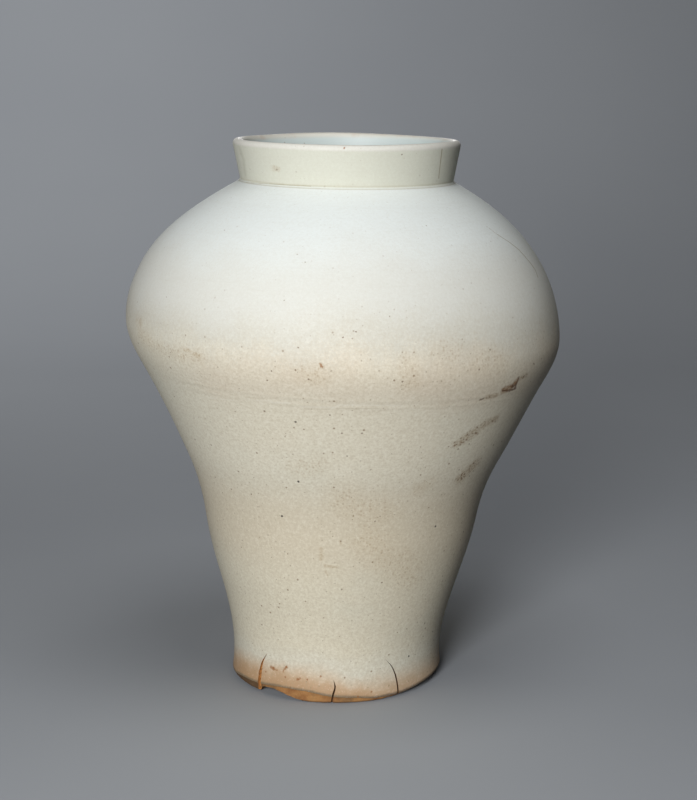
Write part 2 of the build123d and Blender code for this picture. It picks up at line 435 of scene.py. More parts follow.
slip_finish = dried_slip()
slip_top = BASE_EDGE + SLIP
base_slip_section = divided([
    (foot_side, BASE_EDGE), (foot_side, slip_top), (SPIGOT_RADIUS + SLIP, slip_top),
    (SPIGOT_RADIUS + SLIP, FLOOR_HEIGHT), (SPIGOT_RADIUS, FLOOR_HEIGHT), (SPIGOT_RADIUS, BASE_EDGE),
], LINE_SPACING)
base_slip = spun(base_slip_section, "base_slip", "luting_slip", slip_finish)
cut_away(base_slip, cracks)

# Lower wall
# The first of two bowls, thrown on the wheel: it stands on the base, draws in to a waist and opens out.
# Its rim is cut to a bevel, on which the second bowl is set.
FOOT_TOP = FLOOR_HEIGHT + INNER_CORNER
BEVEL_SLOPE = 1.3
JOINT_HEIGHT = 266 * MM
JOINT_RADIUS = 168.1 * MM
JOINT_BELOW, JOINT_ABOVE = 40 * MM, 25 * MM  # how far down and up the wall the bevel is looked for
JOINT_STEPS = 260
ROOT_HEIGHT = 414.8 * MM
HAIR = 0.1 * MM
# Outside of the glazed wall: height, radius, and degrees that it leans out
WALL_STATIONS = [(0, 88.5, 0), (6, 88.6, -2), (16, 87.8, -2), (28, 87.9, 3), (60, 93.05, 14), (85, 100.1, 17),
                 (140, 114.1, 10), (190, 129.7, 26), (266, 167.6, 29), (298, 178.4, 0), (340, 168.8, -24),
                 (380, 139.9, -47), (414.8, 89.8, -61)]
wall_radius = smooth_curve([
    (height * MM, radius * MM, math.tan(math.radians(lean))) for height, radius, lean in WALL_STATIONS
])


def inset_point(height, inset):
    """Point this far under the glazed outside, square to the wall."""
    low, high = max(height - HAIR, 0), min(height + HAIR, ROOT_HEIGHT)
    rise = (wall_radius(high) - wall_radius(low)) / (high - low)
    length = math.hypot(1, rise)
    return (float(wall_radius(height) - inset / length), float(height + inset * rise / length))


def wall_line(inset, low, high, spacing=LINE_SPACING):
    """Line of the wall this far under the glaze, between two heights of the outside."""
    inner_rows = np.arange(math.floor(low / spacing) + 1, math.ceil(high / spacing)) * spacing
    return [inset_point(height, inset) for height in (low, *inner_rows, high)]


def joint_height(inset, raised):
    """Height of the outside at which the bevelled joint, raised a little, crosses a layer."""
    heights = np.linspace(JOINT_HEIGHT - JOINT_BELOW, JOINT_HEIGHT + JOINT_ABOVE, JOINT_STEPS)
    layer = np.array([inset_point(height, inset) for height in heights])
    above = layer[:, 1] - JOINT_HEIGHT + BEVEL_SLOPE * (layer[:, 0] - JOINT_RADIUS) - raised
    return float(np.interp(0, above, heights))


def floor_corner(radius, floor, start_height, points=9):
    """Rounding between the floor and the wall inside."""
    size = start_height - floor
    turns = np.linspace(-math.pi / 2, 0, points)
    return [(radius - size + size * math.cos(turn), start_height + size * math.sin(turn)) for turn in turns]


def porcelain():
    """White porcelain clay, fired and unglazed: warm white, dull, with fine iron specks."""
    material, tree, shader, place = new_finish("porcelain_clay")
    tone = cloud(tree, place, 40, 4)
    colour = blend(tree, tone, shade(226, 220, 206), shade(206, 198, 180))
    specks = shader_node(tree, "TexVoronoi", {"Vector": place, "Scale": 260.0}).outputs["Distance"]
    colour = blend(tree, ease(tree, specks, 0.1, 0.2, 0.7, 0), colour, shade(128, 100, 70))
    grit = cloud(tree, place, 1400, 2)
    join(tree, shader, colour, ease(tree, grit, 0.3, 0.7, 0.65, 0.85), relief(tree, grit, 0.1 * MM))
    return material


clay_finish = porcelain()
CLAY_IN = GLAZE + WALL
clay_corner = floor_corner(FOOT_RADIUS - CLAY_IN, FLOOR_HEIGHT, FOOT_TOP)
lower_section = (
    divided([(SPIGOT_RADIUS + SLIP, slip_top), (foot_side, slip_top)], LINE_SPACING)
    + wall_line(GLAZE, slip_top, joint_height(GLAZE, 0))[1:]
    + wall_line(CLAY_IN, FOOT_TOP, joint_height(CLAY_IN, 0))[::-1]
    + clay_corner[-2::-1]
    + [(SPIGOT_RADIUS + SLIP, FLOOR_HEIGHT)]
)
lower_wall = spun(lower_section, "lower_wall", "porcelain_body", clay_finish)
cut_away(lower_wall, cracks)

# Slip in the belly joint
# A thin layer of slip between the two bevelled rims. It holds the bowls together, and its line shows
# through the glaze as faint ridges under the belly, along which a highlight and shade are painted.
belly_slip_section = [
    inset_point(joint_height(GLAZE, 0), GLAZE), inset_point(joint_height(GLAZE, SLIP), GLAZE),
    inset_point(joint_height(CLAY_IN, SLIP), CLAY_IN), inset_point(joint_height(CLAY_IN, 0), CLAY_IN),
]
spun(belly_slip_section, "belly_slip", "luting_slip", slip_finish)

# Upper wall
# The second bowl, thrown apart, turned over and set on the first: the belly and the shoulder. It ends
# in a level seat for the neck.
NECK_WALL = 6.0 * MM
NECK_IN = GLAZE + NECK_WALL
NECK_RADIUS = 86.2 * MM
RIM_RADIUS = 93.3 * MM
NECK_FLARE = (RIM_RADIUS - NECK_RADIUS) / (RIM_HEIGHT - ROOT_HEIGHT)
SHOULDER_END = 406 * MM  # outside height at which the inside starts to turn up into the neck
NECK_START = 420 * MM
TURN_PULL = 0.45  # how far the rounded turn follows the lines at its ends
STEP_BACK = 1 * MM  # to see which way a line runs
seat_height = inset_point(ROOT_HEIGHT, GLAZE)[1]


def neck_point(height, inset):
    """Point of the flared neck at this height, under the glazed outside."""
    return (NECK_RADIUS + NECK_FLARE * (height - ROOT_HEIGHT) - inset, height)


def neck_turn(inset, neck_inset, points=13):
    """Rounded turn inside, from the shoulder up into the neck."""
    start = Vector(inset_point(SHOULDER_END, inset)).to_3d()
    before = Vector(inset_point(SHOULDER_END - STEP_BACK, inset)).to_3d()
    end = Vector(neck_point(NECK_START, neck_inset)).to_3d()
    below = Vector(neck_point(NECK_START - STEP_BACK, neck_inset)).to_3d()
    reach = (end - start).length * TURN_PULL
    first_pull = start + (start - before).normalized() * reach
    last_pull = end - (end - below).normalized() * reach
    turn = geometry.interpolate_bezier(start, first_pull, last_pull, end, points)
    return [(point.x, point.y) for point in turn]


def between_heights(line, low, high):
    """Stretch of a rising line between two heights."""
    radii, heights = np.array(line).T
    kept = [(radius, height) for radius, height in line if low < height < high]
    ends = [(float(np.interp(height, heights, radii)), height) for height in (low, high)]
    return [ends[0], *kept, ends[1]]


clay_turn = neck_turn(CLAY_IN, NECK_IN)
upper_section = (
    wall_line(GLAZE, joint_height(GLAZE, SLIP), ROOT_HEIGHT)
    + between_heights(clay_turn, clay_turn[0][1], seat_height)[::-1]
    + wall_line(CLAY_IN, joint_height(CLAY_IN, SLIP), SHOULDER_END)[-2::-1]
)
spun(upper_section, "upper_wall", "porcelain_body", clay_finish)

# Slip at the neck's root
# Slip between the shoulder and the neck, squeezed out into a small bead all round the root.
BEAD_RISE = 2.4 * MM
BEAD_LEDGE = 0.7 * MM
neck_seat = seat_height + SLIP
bead_top = ROOT_HEIGHT + BEAD_RISE
neck_side = neck_point(bead_top, GLAZE)[0]
bead_line = [
    inset_point(ROOT_HEIGHT, GLAZE), (neck_side + BEAD_LEDGE + 0.3 * MM, bead_top - 1.3 * MM),
    (neck_side + BEAD_LEDGE, bead_top - 0.5 * MM), (neck_side + 0.6 * BEAD_LEDGE, bead_top - 0.1 * MM),
    (neck_side, bead_top),
]
neck_slip_section = [
    *bead_line,
    neck_point(neck_seat, GLAZE),
    *between_heights(clay_turn, seat_height, neck_seat)[::-1],
]
spun(neck_slip_section, "neck_slip", "luting_slip", slip_finish)

# Neck ring
# A short flaring neck, thrown as a ring and set on the shoulder, with its lip rounded by a wet cloth.
LIP_POINTS = 9
CREST = math.pi / 2
COAT = NECK_WALL + 2 * GLAZE  # the neck with its glaze
flare_angle = math.atan(NECK_FLARE)
lip_centre = neck_point(RIM_HEIGHT - COAT / 2, COAT / 2 / math.cos(flare_angle))


def lip_round(thickness, first_turn, last_turn):
    """Arc of the rounded lip of a wall this thick, between two turns from level outwards."""
    radius, height = lip_centre
    size = thickness / 2
    turns = np.linspace(first_turn, last_turn, LIP_POINTS)
    return [(radius + size * math.cos(turn), height + size * math.sin(turn)) for turn in turns]


lip_outside = lip_round(NECK_WALL, -flare_angle, CREST)
lip_inside = lip_round(NECK_WALL, CREST, math.pi - flare_angle)
neck_section = (
    divided([neck_point(neck_seat, GLAZE), lip_outside[0]], LINE_SPACING)
    + lip_outside[1:]
    + lip_inside[1:]
    + between_heights(clay_turn, neck_seat, NECK_START)[::-1]
)
spun(neck_section, "neck_ring", "porcelain_body", clay_finish)

# Inner glaze
# Clear bluish glaze swilled round inside and poured out: it runs from the lip's crest to the floor,
# where it lies thicker, over the rings that the fingers left.
COAT_IN = CLAY_IN + GLAZE
FINGER_PITCH = 11 * MM
FINGER_DEPTH = 0.35 * MM
FINGER_WANDER = 35 * MM  # height over which the pitch comes and goes
INSIDE_SPACING = 2.6 * MM
FLOOR_SPACING = 4 * MM


def inner_coat():
    """Glaze inside: bluish white, pooled blue-green on the floor, satin, with a few specks."""
    material, tree, shader, place = new_finish("inner_glaze")
    height = shader_node(tree, "SeparateXYZ", {"Vector": place}).outputs["Z"]
    drift = cloud(tree, place, 16, 4)
    colour = blend(tree, drift, shade(210, 219, 217), shade(196, 208, 206))
    low = sums(tree, "ADD", height, sums(tree, "MULTIPLY", drift, 40 * MM))
    colour = blend(tree, ease(tree, low, 30 * MM, 90 * MM, 0.6, 0), colour, shade(178, 198, 196))
    specks = shader_node(tree, "TexVoronoi", {"Vector": place, "Scale": 120.0}).outputs["Distance"]
    colour = blend(tree, ease(tree, specks, 0.04, 0.08, 0.5, 0), colour, shade(120, 96, 70))
    lip = ease(tree, height, 445 * MM, 449 * MM)
    colour = blend(tree, lip, colour, shade(214, 211, 200))
    flush = sums(tree, "MULTIPLY", lip, ease(tree, cloud(tree, place, 48, 4), 0.5, 0.68))
    colour = blend(tree, sums(tree, "MULTIPLY", flush, 0.45), colour, shade(196, 172, 152))
    peel = cloud(tree, place, 420, 2)
    join(tree, shader, colour, ease(tree, peel, 0.3, 0.7, 0.42, 0.52), relief(tree, peel, 0.03 * MM))
    return material


def fingered(line):
    """Line of the wall inside with the shallow rings of the thrower's fingers."""
    ringed = []
    for radius, height in line:
        rings = height / FINGER_PITCH + noise.noise(Vector((0, 0, height / FINGER_WANDER)))
        ringed.append((radius + FINGER_DEPTH * math.sin(2 * math.pi * rings), height))
    return ringed


coat_floor = FLOOR_HEIGHT + GLAZE
coat_corner = floor_corner(FOOT_RADIUS - COAT_IN, coat_floor, FOOT_TOP)
inner_section = (
    divided([(0, coat_floor), coat_corner[0]], FLOOR_SPACING)
    + coat_corner[1:-1]
    + fingered(wall_line(COAT_IN, FOOT_TOP, SHOULDER_END, INSIDE_SPACING))
    + neck_turn(COAT_IN, NECK_IN + GLAZE)[1:]
    + lip_round(COAT, CREST, math.pi - flare_angle)[::-1]
    + lip_inside
    + clay_turn[::-1]
    + wall_line(CLAY_IN, FOOT_TOP, SHOULDER_END)[-2::-1]
    + clay_corner[-2::-1]
    + [(0, FLOOR_HEIGHT)]
)
spun(inner_section, "inner_glaze", "inner_glaze", inner_coat())

# Outer glaze
# Clear, faintly blue glaze over the whole outside, from the lip's crest to just above the ground. It is
# white on the shoulder, warm under the belly and pink above the bare foot, with iron specks and stains.
OUTSIDE_SPACING = 2.5 * MM
FINE_SPACING = 0.9 * MM
EDGE_SPACING = 1.1 * MM
NECK_SPACING = 2 * MM
EDGE_HEIGHT = 6 * MM  # glaze's lower edge before it is drawn to its own height all round
EDGE_REACH = 45 * MM  # height up to which drawing the edge moves the glaze
EDGE_STRAY = 0.35 * MM
STRAY_TURN = 3  # degrees round the foot from one stray to the next
RIDGE_HEIGHTS = (261.3 * MM, 266.8 * MM)
RIDGE_RISE = 0.16 * MM
RIDGE_WIDTH = 1.3 * MM
RIDGE_SWELLS = 18  # to the metre
RIDGES_LOW, RIDGES_HIGH = 254 * MM, 274 * MM  # between which the rows lie close
SHOULDER_TURN = 380 * MM
NECK_TOP = 440 * MM
# Height of the glaze's lower edge round the foot
edge_height = round_curve([
    (0, 6.9, 0), (50, 5, 0), (100, 4, 0), (180, 3.2, 0), (196, 4.0, 0.15), (209, 6.6, 0.12),
    (224, 7.6, 0.1), (236, 9.3, 0.06), (251, 9.4, -0.05), (258, 8.4, -0.25), (266, 6.0, -0.2),
    (283, 4.0, -0.15), (292, 2.4, 0), (304, 2.7, 0.08), (328, 5.9, 0.12), (345, 7.2, 0), (360, 6.9, 0),
])
# Height at which the shoulder's white gives way to the warm belly
warm_top = round_curve([
    (0, 300, 0), (90, 304, 0), (160, 297, 0), (213, 298, 0), (235, 295, 0), (250, 298, 0.3),
    (265, 302, 0.2), (279, 304, 0), (291, 301, -0.2), (305, 299, 0), (320, 299, 0), (360, 300, 0),
])

edge_radius = float(wall_radius(EDGE_HEIGHT))
coat_lip = lip_round(COAT, -flare_angle, CREST)
bead_outside = [(radius + GLAZE, height + 0.5 * GLAZE) for radius, height in bead_line[1:]]
outer_section = (
    [(edge_radius - GLAZE, EDGE_HEIGHT + 0.2 * MM), (edge_radius - 0.5 * GLAZE, EDGE_HEIGHT),
     (edge_radius - 0.15 * GLAZE, EDGE_HEIGHT + 0.2 * MM)]
    + wall_line(0, EDGE_HEIGHT + 0.6 * MM, FOOT_TOP, EDGE_SPACING)
    + wall_line(0, FOOT_TOP, RIDGES_LOW, OUTSIDE_SPACING)[1:]
    + wall_line(0, RIDGES_LOW, RIDGES_HIGH, FINE_SPACING)[1:]
    + wall_line(0, RIDGES_HIGH, SHOULDER_TURN, OUTSIDE_SPACING * 0.8)[1:]
    + wall_line(0, SHOULDER_TURN, ROOT_HEIGHT, OUTSIDE_SPACING * 0.5)[1:]
    + bead_outside
    + divided([neck_point(bead_top + 1.2 * MM, 0), coat_lip[0]], NECK_SPACING)
    + coat_lip[1:]
    + lip_outside[::-1]
    + divided([neck_point(NECK_TOP, GLAZE), neck_point(bead_top, GLAZE)], LINE_SPACING)
    + bead_line[-2:0:-1]
    + wall_line(GLAZE, EDGE_HEIGHT + 0.8 * MM, ROOT_HEIGHT)[::-1]
)
outer_shell = thrown(outer_section)
for vert in outer_shell.verts:
    x, y, z = vert.co
    turn = math.degrees(math.atan2(y, x)) % 360
    if z < EDGE_REACH:
        share = (EDGE_REACH - z) / (EDGE_REACH - EDGE_HEIGHT)
        ragged = EDGE_STRAY * noise.noise(Vector((turn / STRAY_TURN, 0, 0)))
        vert.co.z += share * (float(edge_height(turn)) + ragged - EDGE_HEIGHT)
    radius = math.hypot(x, y)
    if RIDGES_LOW + 1 * MM < z < RIDGES_HIGH - 1 * MM and radius > wall_radius(z) - HAIR:
        ridges = sum(math.exp(-(((z - ridge) / RIDGE_WIDTH) ** 2)) for ridge in RIDGE_HEIGHTS)
        swell = RIDGE_RISE * ridges * (0.6 + noise.noise(Vector((x, y, 0)) * RIDGE_SWELLS))
        vert.co.x += swell * x / radius
        vert.co.y += swell * y / radius
settle(outer_shell)

# Marks that the kiln and long use left, and lines of painted highlight and shade, each placed where it shows
# in the picture, in dots across and down.
EYE = Vector((0.0105, -1.4845, 0.531))
EYE_TILT = math.radians(11.32)
EYE_LENS = 81.63
EYE_SENSOR = 36
PICTURE_WIDTH, PICTURE_HEIGHT = 697, 800
glazed_shape = BVHTree.FromBMesh(outer_shell)


def seen_at(across, down):
    """Place on the glaze that shows at this dot of the picture."""
    reach = EYE_LENS / EYE_SENSOR * PICTURE_HEIGHT
    way = Vector((across - PICTURE_WIDTH / 2, reach, PICTURE_HEIGHT / 2 - down))
    way.rotate(Matrix.Rotation(-EYE_TILT, 3, "X"))
    return glazed_shape.ray_cast(EYE, way.normalized())[0]


BLACK_SPECKS = [(295.6, 421.9), (298.5, 481.5), (281.8, 516), (435.4, 526.3), (408.8, 656.2), (453.8, 183)]
BROWN_SPECKS = [
    (238.4, 471.5), (347.2, 456.2), (341.9, 433.3), (362.1, 433.2), (271.4, 371.1), (267.1, 380.4),
    (295.6, 370.1), (298.1, 347.7), (343, 337.5), (356, 331.8), (490.3, 349.7), (479.2, 369.6), (375, 521.5),
    (340.9, 541.3), (251.3, 494.1), (463.5, 531.8), (402.4, 381.7), (308.8, 379.4), (341.6, 589.5),
    (381.7, 582.6), (264.5, 411.2), (329.8, 415), (469.3, 443.9), (456.4, 444.6), (459.1, 469.8),
    (469.5, 476.1), (473.2, 471.3), (472.5, 433.7), (401.8, 154.6), (277, 169.8), (480.5, 399),
]
FAINT_SPECKS = [
    (284.7, 551.3), (271.6, 557.5), (290.8, 565.4), (240.6, 587.2), (326.6, 591.6), (441.6, 494.8),
    (331.2, 483.9), (359.3, 562.8), (227.2, 579.2), (429.9, 537), (268, 535.2), (239.1, 388.5),
    (199.2, 371.4), (218, 367.2), (285, 436.7), (389.4, 316.1), (379.3, 370.7), (426.1, 372.2),
    (512.9, 317.6), (284.1, 300.5), (305.2, 262), (297.3, 254.2), (490.9, 241.5), (166.3, 296.8),
    (224.4, 230.3), (426.4, 225.6), (370.6, 469.8), (331.2, 370.9), (458.6, 419.4), (433.1, 657.5),
    (350.9, 661.3),
]
RUST_SPOTS = [
    (273.2, 668.2), (265.8, 671.7), (286.5, 666.8), (298.4, 678.9), (285.4, 677.1), (307.1, 679.7),
    (320.6, 676.3), (371.4, 691.9), (358.1, 696.5), (344.4, 148.1), (277, 670),
]
# Streaks: from, to, and half width in millimetres
IRON_BLOT = [((504, 390), (511, 387.5), 3.6), ((511, 387.5), (515.5, 382.5), 3.0)]
IRON_CORE = [
    ((502, 391), (510, 390.5), 0.8), ((510, 390.5), (515, 388.5), 1.0), ((515, 388.5), (516, 384), 1.2),
    ((516, 384), (519, 377.5), 0.8), ((512, 385.5), (513.5, 386.5), 1.0), ((480.6, 400), (483.2, 398.2), 0.7),
]
IRON_STREAK = [
    ((456.5, 444), (466, 438), 3.4), ((466, 438), (475.5, 431.5), 4.4), ((483, 425.5), (496, 418.5), 3.4),
    ((476, 463), (461, 477.5), 5.0), ((518, 379), (526, 375.5), 1.8), ((486, 397.5), (496, 395.5), 2.2),
]
TAN_STAINS = [
    ((140.5, 321), (140.5, 324), 2.0), ((185, 350), (190, 351), 1.3), ((194, 354.5), (199, 356), 1.5),
    ((321, 364.5), (321.5, 366), 1.5), ((274, 168), (278, 169), 2.0), ((318.5, 368), (315.3, 375.5), 0.5),
    ((321.4, 549), (321.8, 560), 1.2), ((325, 565.5), (336, 567), 1.1), ((326, 571), (328, 575), 0.9),
    ((340, 541), (341, 543), 1.0),
]
RUST_BLOTS = [
    ((271.5, 667.3), (274.8, 669.6), 1.3), ((283.4, 671), (286.6, 666.6), 0.8), ((297, 680), (300, 678), 0.8),
    ((320.4, 364), (322.2, 366.8), 0.9),
]
DUST_AND_EDGE_SHADE = [
    ((407, 362), (410, 383), 8), ((306, 374), (318, 378), 9), ((300, 468), (318, 466), 9),
    ((417.8, 489.6), (429, 482.7), 6), ((345, 500), (380, 512), 15), ((370, 540), (410, 575), 16),
    # The last three run along the belly's left edge, where the brownish haze is painted shade.
    ((170, 352), (200, 357), 6), ((440, 352), (500, 362), 11), ((138, 322), (141, 334), 7),
    ((141, 334), (152, 344), 7), ((152, 344), (170, 351), 6),
]
# Painted highlight along the upper side of the belly joint's ridges.
RIDGE_HIGHLIGHT_LINES = [
    ((208, 397.5), (233, 400.6), 0.5), ((255.5, 400.4), (272, 401), 0.5), ((272, 402.6), (290, 403), 0.8),
    ((300, 406.8), (336, 407.5), 0.5), ((337, 405.2), (353, 405), 0.8), ((357, 405.2), (402, 405.6), 0.5),
]
# Painted shade just below the belly joint's ridges.
RIDGE_SHADE_LINES = [
    ((246, 397.4), (264, 398.6), 0.6), ((300, 409), (334, 409.6), 0.5), ((336, 408.8), (380, 408.3), 0.6),
]
HAIRLINES_AND_STEP_SHADE = [
    ((442, 149.5), (440.5, 162), 0.6), ((440.5, 162), (438.7, 178), 0.5), ((246, 182.6), (311, 186.2), 0.2),
    # From here on the lines run down the shoulder's right side: painted shade of a slight step in the wall.
    ((489, 228), (496.7, 234), 0.25), ((496.7, 234), (509.6, 242.4), 0.4),
    ((509.6, 242.4), (518.6, 249.5), 0.5), ((518.6, 249.5), (525, 256.6), 0.6),
    ((525, 256.6), (530.8, 263.6), 0.6), ((530.8, 263.6), (535.3, 270), 0.6),
    ((535.3, 270), (537.8, 277), 0.5),
]
# Painted shade of a shallow crease down the neck's left side.
CREASE_SHADE = [((240, 149.5), (243.5, 160), 3.2), ((243.5, 160), (245, 174), 3.2)]


def round_wall(streaks, longest=8):
    """Long thin streaks in short lengths, so that each follows the round wall."""
    lengths = []
    for first, last, half_width in streaks:
        count = math.ceil(math.dist(first, last) / longest)
        marks = [Vector(first).lerp(Vector(last), step / count) for step in range(count + 1)]
        lengths += [(start, end, half_width) for start, end in zip(marks, marks[1:])]
    return lengths


def vector_sum(tree, operation, first, second):
    """Results of one sum on two vectors."""
    return shader_node(tree, "VectorMath", {0: first, 1: second}, operation=operation).outputs


def from_spots(tree, place, dots):
    """Distance from the nearest of these spots."""
    nearest = 1.0
    for dot in dots:
        distance = vector_sum(tree, "DISTANCE", place, seen_at(*dot))["Value"]
        nearest = sums(tree, "MINIMUM", nearest, distance)
    return nearest


def from_streaks(tree, place, streaks):
    """Distance from the nearest of these streaks, counted in its half width."""
    nearest = 100.0
    for first, last, half_width in streaks:
        start, end = seen_at(*first), seen_at(*last)
        length = end - start
        offset = vector_sum(tree, "SUBTRACT", place, start)["Vector"]
        along = vector_sum(tree, "DOT_PRODUCT", offset, length / length.length_squared)["Value"]
        along = shader_node(tree, "Clamp", {"Value": along}).outputs["Result"]
        partway = {0: length, "Scale": along}
        closest = shader_node(tree, "VectorMath", partway, operation="SCALE").outputs["Vector"]
        distance = vector_sum(tree, "DISTANCE", offset, closest)["Value"]
        nearest = sums(tree, "MINIMUM", nearest, sums(tree, "DIVIDE", distance, half_width * MM))
    return nearest


def times(tree, *shares):
    """Product of several shares."""
    product = shares[0]
    for share in shares[1:]:
        product = sums(tree, "MULTIPLY", product, share)
    return product


def band(tree, value, start, full, fade, end):
    """Share that rises from start to full, and falls again from fade to end."""
    return times(tree, ease(tree, value, start, full), ease(tree, value, fade, end, 1, 0))


def swayed(tree, value, field, reach):
    """Value pushed up and down by a random field, over this reach."""
    return sums(tree, "ADD", value, times(tree, sums(tree, "SUBTRACT", field, 0.5), reach))


def shaken(tree, place, shake, reach):
    """Place pushed about by a random field, over this reach."""
    inputs = {0: shake, 1: (reach,) * 3, 2: place}
    return shader_node(tree, "VectorMath", inputs, operation="MULTIPLY_ADD").outputs["Vector"]


def strewn(tree, place, scale, chances, sizes, rim, strength):
    """Round dots, one to a cell of the scale, their sizes dealt by chance; sizes and rim in cells."""
    cells = shader_node(tree, "TexVoronoi", {"Vector": place, "Scale": scale}).outputs
    chance = shader_node(tree, "SeparateColor", {"Color": cells["Color"]}).outputs["Red"]
    beyond = sums(tree, "SUBTRACT", cells["Distance"], ease(tree, chance, *chances, *sizes))
    return ease(tree, beyond, *rim, strength, 0)


def outer_coat():
    """Glaze outside: its warm and cool zones, flashing at the foot, stains, specks and fine grain."""
    material, tree, shader, place = new_finish("outer_glaze")

    def tinted(share, *steps):
        """The colour so far, blended to a shade by a share."""
        return blend(tree, share, colour, shade(*steps))

    height, rise, warmth = (
        shader_node(tree, "Attribute", {}, attribute_name=name).outputs["Fac"]
        for name in ("height", "rise", "warmth")
    )
    across = shader_node(tree, "SeparateXYZ", {"Vector": place}).outputs["X"]
    broad = cloud(tree, place, 10, 3)
    patch = cloud(tree, place, 32, 4)
    mottle = cloud(tree, place, 170, 3)
    grain = cloud(tree, place, 950, 2, 0.6)
    powder = ease(tree, cloud(tree, place, 950, 3, 0.75), 0.46, 0.62, 0.15, 1)
    clots = ease(tree, cloud(tree, place, 520, 4, 0.85), 0.42, 0.62, 0.2, 1)
    tooth = cloud(tree, place, 430, 5, 0.85)
    turning = shader_node(tree, "Mapping", {"Vector": place, "Scale": (18, 18, 520)}).outputs["Vector"]
    rings = cloud(tree, turning, 1, 3)

    # Warm cream below, greener towards the left and in patches, darker in a band low down, and paler at the
    # waist, which is painted light
    to_left = ease(tree, across, -40 * MM, -135 * MM, 0, 0.5)
    green = sums(tree, "ADD", to_left, ease(tree, broad, 0.5, 0.75, 0, 0.5))
    colour = blend(tree, green, shade(233, 226, 204), shade(224, 224, 207))
    low_band = band(tree, height, 95 * MM, 140 * MM, 165 * MM, 215 * MM)
    colour = tinted(times(tree, low_band, 0.8), 217, 207, 185)
    # Painted light: the waist faces down and catches less light, so it is painted paler.
    colour = tinted(ease(tree, height, 150 * MM, 205 * MM, 0, 0.25), 255, 252, 238)
    # Pinker cream just under the belly, then the shoulder's bluish white, both with a ragged, dusty edge
    level = swayed(tree, swayed(tree, warmth, patch, 30 * MM), grain, 22 * MM)
    pink = times(tree, ease(tree, level, -50 * MM, -22 * MM), ease(tree, broad, 0.3, 0.55, 0.35, 0.75))
    colour = tinted(times(tree, pink, ease(tree, across, -130 * MM, -70 * MM, 0.25, 1)), 229, 216, 195)
    colour = tinted(ease(tree, level, -16 * MM, 18 * MM), 214, 212, 200)
    colour = tinted(ease(tree, level, 6 * MM, 44 * MM), 219, 220, 213)
    colour = tinted(ease(tree, level, 46 * MM, 96 * MM), 230, 236, 234)
    # Greenish cream neck with a paler lip, partly its own colour and partly painted light on its shaded right
    # end, and thicker glaze in the angle at its root
    colour = tinted(ease(tree, height, 415.5 * MM, 418.5 * MM), 217, 218, 204)
    # Partly painted light: the lip is painted paler all round, which brightens its shaded right end.
    colour = tinted(ease(tree, height, 444.5 * MM, 447 * MM, 0, 0.8), 225, 223, 216)
    root = band(tree, height, 415.5 * MM, 416.2 * MM, 416.3 * MM, 416.8 * MM)
    colour = tinted(times(tree, root, 0.5), 160, 150, 122)
    angle = band(tree, height, 417.5 * MM, 418.0 * MM, 418.2 * MM, 419.6 * MM)
    colour = tinted(times(tree, angle, 0.3), 176, 166, 138)
    # Pale grey over the foot, pink where the flame got under it, and a scorched line at the glaze's edge,
    # darkened to the right with painted shadow of the gap under the raised foot
    lifted = swayed(tree, rise, patch, 26 * MM)
    colour = tinted(ease(tree, lifted, 44 * MM, 20 * MM, 0, 0.6), 226, 224, 210)
    flame = ease(tree, across, 25 * MM, 65 * MM, 1, 0.65)
    colour = tinted(times(tree, ease(tree, lifted, 27 * MM, 7 * MM, 0, 0.9), flame), 208, 174, 137)
    colour = tinted(times(tree, ease(tree, lifted, 16 * MM, 1 * MM, 0, 0.85), flame), 182, 140, 98)
    edge = swayed(tree, rise, mottle, 2 * MM)
    # Partly painted shade: the line grows darker to the right, standing in for the shadow in the gap under
    # the lifted foot.
    to_right = ease(tree, across, 10 * MM, 45 * MM)
    scorch_and_gap_shade = blend(tree, to_right, shade(112, 92, 66), shade(70, 52, 38))
    colour = blend(tree, ease(tree, edge, 3.0 * MM, 0.8 * MM, 0, 0.9), colour, scorch_and_gap_shade)

    # Fine pepper and mottled grain, strongest below the shoulder
    low_down = ease(tree, level, 50 * MM, -20 * MM, 0.3, 1)
    pepper = strewn(tree, place, 300.0, (0.5, 1.0), (0.0, 0.2), (-0.06, 0.0), 0.55)
    colour = tinted(times(tree, pepper, low_down), 138, 116, 86)
    coarse = ease(tree, tooth, 0.36, 0.72, 0, 0.5)
    colour = tinted(times(tree, coarse, low_down), 186, 172, 146)
    pale = ease(tree, tooth, 0.5, 0.26, 0, 0.45)
    colour = tinted(times(tree, pale, low_down), 244, 240, 226)
